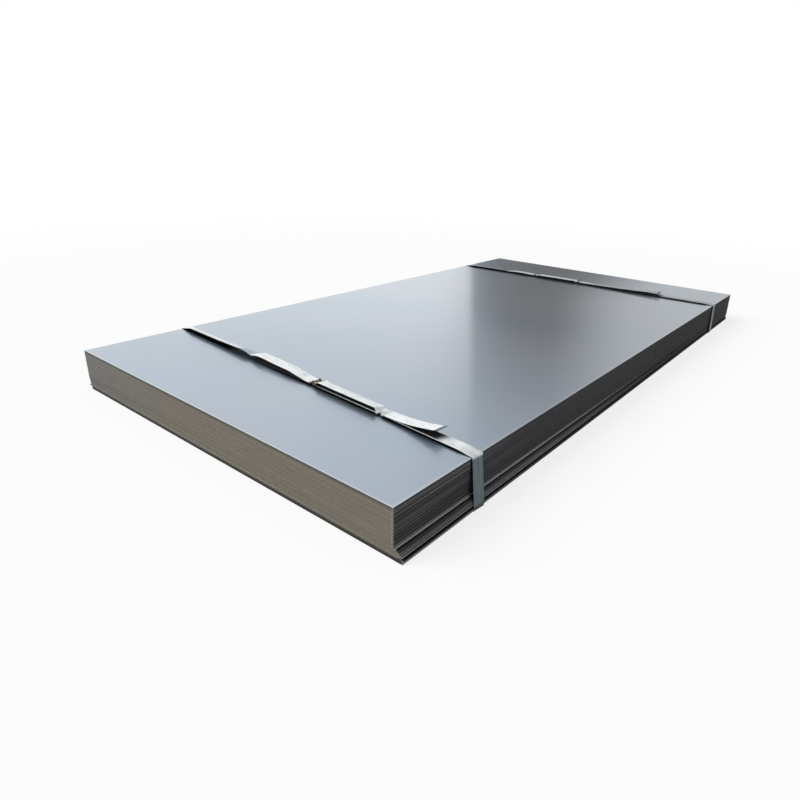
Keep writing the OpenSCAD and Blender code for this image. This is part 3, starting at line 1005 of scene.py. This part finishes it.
def strap_tree():
    """Sweeps the strap's flat section along its path, pinched in the seals and dented where it is slack."""
    graph, given, identifiers = new_geometry_tree("strap_sweep", {
        "Width": "NodeSocketFloat",
        "Thickness": "NodeSocketFloat",
        "Edge radius": "NodeSocketFloat",
        "Dent depth": "NodeSocketFloat",
        "Cupping": "NodeSocketFloat",
        "Sideways": "NodeSocketVector",
        "Finish": "NodeSocketMaterial",
    })
    path = graph.add("GeometryNodeMeshToCurve", None, {0: given("Geometry")})
    section = graph.add(
        "GeometryNodeCurvePrimitiveQuadrilateral", None,
        {"Width": given("Width"), "Height": given("Thickness")},
    )
    section = graph.add(
        "GeometryNodeFilletCurve", {"mode": "POLY"},
        {"Curve": section, "Count": 2, "Radius": given("Edge radius"), "Limit Radius": True},
    )
    section = graph.add("GeometryNodeSubdivideCurve", None, {"Curve": section, "Cuts": 3})
    x, y, _ = graph.split(graph.add("GeometryNodeInputPosition"))
    section = graph.stored(graph.stored(section, "across", x), "inside", y)
    band = graph.add(
        "GeometryNodeCurveToMesh", None, {"Curve": path, "Profile Curve": section, "Fill Caps": True},
    )
    across, along = graph.carried("across"), graph.carried("along")
    from_middle = across / given("Width") * 2.0
    dents = graph.noise(graph.xyz(along * 22.0, across * 30.0, 0.0), 1.0, 2.0) - 0.5
    bend = dents * given("Dent depth") - from_middle * from_middle * given("Cupping")
    lift = graph.carried("slack") * bend + graph.carried("roll") * from_middle + graph.carried("heave")
    aside = from_middle * graph.carried("pinch") + graph.carried("slip")
    band = graph.moved(band, graph.scaled(given("Sideways"), aside))
    band = graph.moved(band, graph.xyz(0.0, 0.0, lift))
    band = graph.add("GeometryNodeRealizeInstances", None, {"Geometry": band})
    band = graph.finished(band, given("Finish"))
    graph.add("NodeGroupOutput", None, {"Geometry": band})
    return graph, identifiers


DENT_DEPTH = 2.2
CUPPING = 0.6
STRAP_CREASE = math.radians(20)


def strap(name, finish, look, strap_y, skew, **lap):
    """A piece with one whole strap."""
    places, marks = strap_places(strap_y, skew, **lap)
    obj = new_object(name, strap_path_mesh(name, strap_y, skew, places, **marks, **look))
    grown(obj, *STRAP_SWEEP, {
        "Width": STRAP_W * MM,
        "Thickness": STRAP_T * MM,
        "Edge radius": EDGE_R * MM,
        "Dent depth": DENT_DEPTH * MM,
        "Cupping": CUPPING * MM,
        "Sideways": Vector((-math.sin(skew), math.cos(skew), 0.0)),
        "Finish": finish,
    })
    outward(obj.data)
    obj.data.shade_smooth()
    obj.data.set_sharp_from_angle(angle=STRAP_CREASE)
    return obj


def outward(mesh):
    """Turns all faces of a closed mesh outwards."""
    maker = bmesh.new()
    maker.from_mesh(mesh)
    bmesh.ops.recalc_face_normals(maker, faces=maker.faces)
    maker.to_mesh(mesh)
    maker.free()


# Rounded folds of a seal, the least angles of a fold and of a shaded crease, and what is one point or plane
FOLD_R = 0.3
FOLD_STEPS = 2
FOLD_ANGLE = math.radians(30)
SEAL_CREASE = math.radians(35)
SAME_POINT = 0.02
SAME_PLANE = math.radians(1)
# Upward share of a face's normal below which it is a wall of the seal
WALL_SLOPE = 0.5


def seal(name, node, finish):
    """A piece with the shape of a seal's solid and the rounded edges of folded sheet."""
    maker = bmesh.new()
    maker.from_mesh(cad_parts[node].data)
    bmesh.ops.remove_doubles(maker, verts=maker.verts, dist=SAME_POINT * MM)
    bmesh.ops.dissolve_limit(maker, angle_limit=SAME_PLANE, verts=maker.verts, edges=maker.edges)
    folds = [e for e in maker.edges if len(e.link_faces) == 2 and e.calc_face_angle() > FOLD_ANGLE]
    bmesh.ops.bevel(
        maker, geom=folds, offset=FOLD_R * MM, offset_type="OFFSET", segments=FOLD_STEPS, profile=0.5,
        affect="EDGES", clamp_overlap=True,
    )
    mesh = bpy.data.meshes.new(name)
    maker.to_mesh(mesh)
    maker.free()
    mesh.materials.append(finish)
    mesh.shade_smooth()
    mesh.set_sharp_from_angle(angle=SEAL_CREASE)
    walls = [1.0 if face.normal.z < WALL_SLOPE else 0.0 for face in mesh.polygons]
    mesh.attributes.new("wall", "FLOAT", "FACE").data.foreach_set("value", walls)
    return new_object(name, mesh)


def dress(piece, node):
    """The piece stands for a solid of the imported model."""
    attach(piece, "root")
    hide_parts(node)


PLATE_PACK = plate_pack_tree()
STRAP_SWEEP = strap_tree()

top_sheet = plate_pack("top_sheet", 0, 1, face_finish=ROLLED_FACE, least_face_slope=TOP_FACE_SLOPE)
dress(top_sheet, "top_plate")
dress(plate_pack("upper_pack", 1, UPPER_COUNT - 1), "upper_plates")
dress(plate_pack("lower_pack", LOWER_FIRST, LOWER_COUNT), "lower_plates")
dress(plate_pack("set_back_sheet", SET_BACK_INDEX, 1), "set_back_plate")
dress(plate_pack("bottom_pack", BOTTOM_FIRST, BOTTOM_COUNT), "bottom_plates")

near_band = strap("near_band", BRIGHT_ZINC, NEAR_LOOK, NEAR_Y, **NEAR_STRAP)
dress(near_band, "near_strap")
far_band = strap("far_band", SHADED_ZINC, FAR_LOOK, FAR_Y, **FAR_STRAP)
dress(far_band, "far_strap")

for node, finish in (
    ("near_seal_left", STAINED_SEAL), ("near_seal_right", CLEAN_SEAL),
    ("far_seal_left", FAR_SEAL), ("far_seal_right", FAR_SEAL),
):
    dress(seal(node + "_sleeve", node, finish), node)


# Floor, light and camera

WHITE = rgb(1.0, 1.0, 1.0)
BLACK = rgb(0.0, 0.0, 0.0)
FLOOR_PAINT = rgb(0.93, 0.93, 0.93)
FLOOR_RADIUS = 60.0
FLOOR_CORNERS = 96
# Share of plain white in the floor by the object, and the distances over which it gets all white, in metres
FLOOR_LIFT = 0.8
FLOOR_CLEAR = (2.0, 5.0)


def floor_finish(graph):
    """Pale floor, lifted to the white of the room where it is seen. The object's shadow stays on it."""
    away = graph.add("ShaderNodeVectorMath", {"operation": "LENGTH"}, {0: graph.place()}, out="Value")
    lift = FLOOR_LIFT + (1.0 - FLOOR_LIFT) * graph.smooth(away, *FLOOR_CLEAR)
    _, seen = graph.seen()
    paint = graph.add("ShaderNodeBsdfDiffuse", None, {"Color": FLOOR_PAINT})
    white = graph.add("ShaderNodeEmission", None, {"Color": WHITE, "Strength": 1.0})
    return graph.add("ShaderNodeMixShader", None, {0: lift * seen, 1: paint, 2: white})


def add_floor():
    maker = bmesh.new()
    bmesh.ops.create_circle(maker, cap_ends=True, radius=FLOOR_RADIUS, segments=FLOOR_CORNERS)
    mesh = bpy.data.meshes.new("floor")
    maker.to_mesh(mesh)
    maker.free()
    mesh.materials.append(new_material("pale_floor", floor_finish))
    new_object("floor", mesh)


# Share of the room's brightness that lights the object, and the key lamp
FILL = 0.5
KEY_STRENGTH = 2.8
KEY_FROM = Vector((-0.55, -0.55, 0.63))
KEY_ANGLE = math.radians(40)

# Dark leaning panel of the studio, mirrored by the top plate: bearings from +Y and heights, in degrees
PANEL_LEFT = (-33.5, -32.5)
PANEL_RIGHT = (-24.5, -16.5)
PANEL_LEAN = 0.1
PANEL_TOP = (19.0, 34.0)
PANEL_TONE_LEFT = rgb(0.128, 0.134, 0.140)
PANEL_TONE_RIGHT = rgb(0.145, 0.132, 0.122)
# Bearings between which its tone changes
PANEL_TONE_SHIFT = (-31.0, -27.0)
# Its foot reaches further right, by this much below these heights
PANEL_FOOT_REACH = 3.0
PANEL_FOOT = (10.2, 12.2)
# Room: its tone high up, the heights between which it changes, how bright it is right of the panel, and the
# bearings between which that part ends
WALL_HIGH = rgb(0.78, 0.79, 0.80)
WALL_HEIGHTS = (12.0, 34.0)
ROOM_RIGHT = 0.66
ROOM_RIGHT_END = (60.0, 90.0)


def room_tone(graph):
    """What the object mirrors in each direction: a white room with the dark panel."""
    x, y, z = graph.split(graph.add("ShaderNodeTexCoord", out="Generated"))
    bearing = x.math("ARCTAN2", y) * math.degrees(1.0)
    height = z.math("ARCSINE") * math.degrees(1.0)
    foot = 1.0 - graph.smooth(height, *PANEL_FOOT)
    panel = (
        graph.smooth(bearing - PANEL_LEAN * height, *PANEL_LEFT)
        * (1.0 - graph.smooth(bearing - PANEL_FOOT_REACH * foot, *PANEL_RIGHT))
        * (1.0 - graph.smooth(height, *PANEL_TOP))
    )
    tone = graph.mix(graph.smooth(bearing, *PANEL_TONE_SHIFT), PANEL_TONE_LEFT, PANEL_TONE_RIGHT)
    wall = graph.mix(graph.smooth(height, *WALL_HEIGHTS), WHITE, WALL_HIGH)
    right = graph.window(bearing, PANEL_LEFT[1], PANEL_RIGHT[1], *ROOM_RIGHT_END)
    wall = graph.mix(right * (1.0 - ROOM_RIGHT), wall, BLACK)
    return graph.mix(panel, wall, tone)


def add_light():
    world = bpy.data.worlds.new("studio")
    bpy.context.scene.world = world
    world.use_nodes = True
    graph = Graph(world.node_tree)
    straight, seen = graph.seen()
    light = graph.add("ShaderNodeBackground", None, {
        "Color": graph.mix(straight, room_tone(graph), WHITE),
        "Strength": FILL + (1.0 - FILL) * seen,
    })
    graph.add("ShaderNodeOutputWorld", None, {"Surface": light})

    key = bpy.data.lights.new("key", "SUN")
    key.energy = KEY_STRENGTH
    key.angle = KEY_ANGLE
    lamp = bpy.data.objects.new("key", key)
    lamp.rotation_euler = KEY_FROM.to_track_quat("Z", "Y").to_euler()
    lamp.visible_glossy = False
    bpy.context.scene.collection.objects.link(lamp)


# Viewpoint of the photograph, from the stack's origin, and its direction in degrees
CAMERA_PLACE = Vector((1197.85, -1977.05, 613.91))
CAMERA_BEARING = math.radians(-41.197)
CAMERA_DOWN = math.radians(23.343)
CAMERA_ROLL = math.radians(-1.627)
PICTURE_SIZE = 800.0
FOCAL_PIXELS = 594.7
PICTURE_CENTRE_X = 370.0
SENSOR = 36.0


def add_camera():
    data = bpy.data.cameras.new("camera")
    data.sensor_width = SENSOR
    data.lens = SENSOR * FOCAL_PIXELS / PICTURE_SIZE
    data.shift_x = 0.5 - PICTURE_CENTRE_X / PICTURE_SIZE
    camera = bpy.data.objects.new("camera", data)
    ahead = Vector((
        math.sin(CAMERA_BEARING) * math.cos(CAMERA_DOWN),
        math.cos(CAMERA_BEARING) * math.cos(CAMERA_DOWN),
        -math.sin(CAMERA_DOWN),
    ))
    right = ahead.cross(Vector((0.0, 0.0, 1.0))).normalized()
    down = ahead.cross(right)
    rolled_right = math.cos(CAMERA_ROLL) * right + math.sin(CAMERA_ROLL) * down
    rolled_down = math.cos(CAMERA_ROLL) * down - math.sin(CAMERA_ROLL) * right
    turn = Matrix((rolled_right, -rolled_down, -ahead)).transposed()
    camera.matrix_world = Matrix.Translation(STACK_ORIGIN + CAMERA_PLACE * MM) @ turn.to_4x4()
    bpy.context.scene.collection.objects.link(camera)
    bpy.context.scene.camera = camera


add_floor()
add_light()
add_camera()
bpy.context.scene.view_settings.view_transform = "Standard"
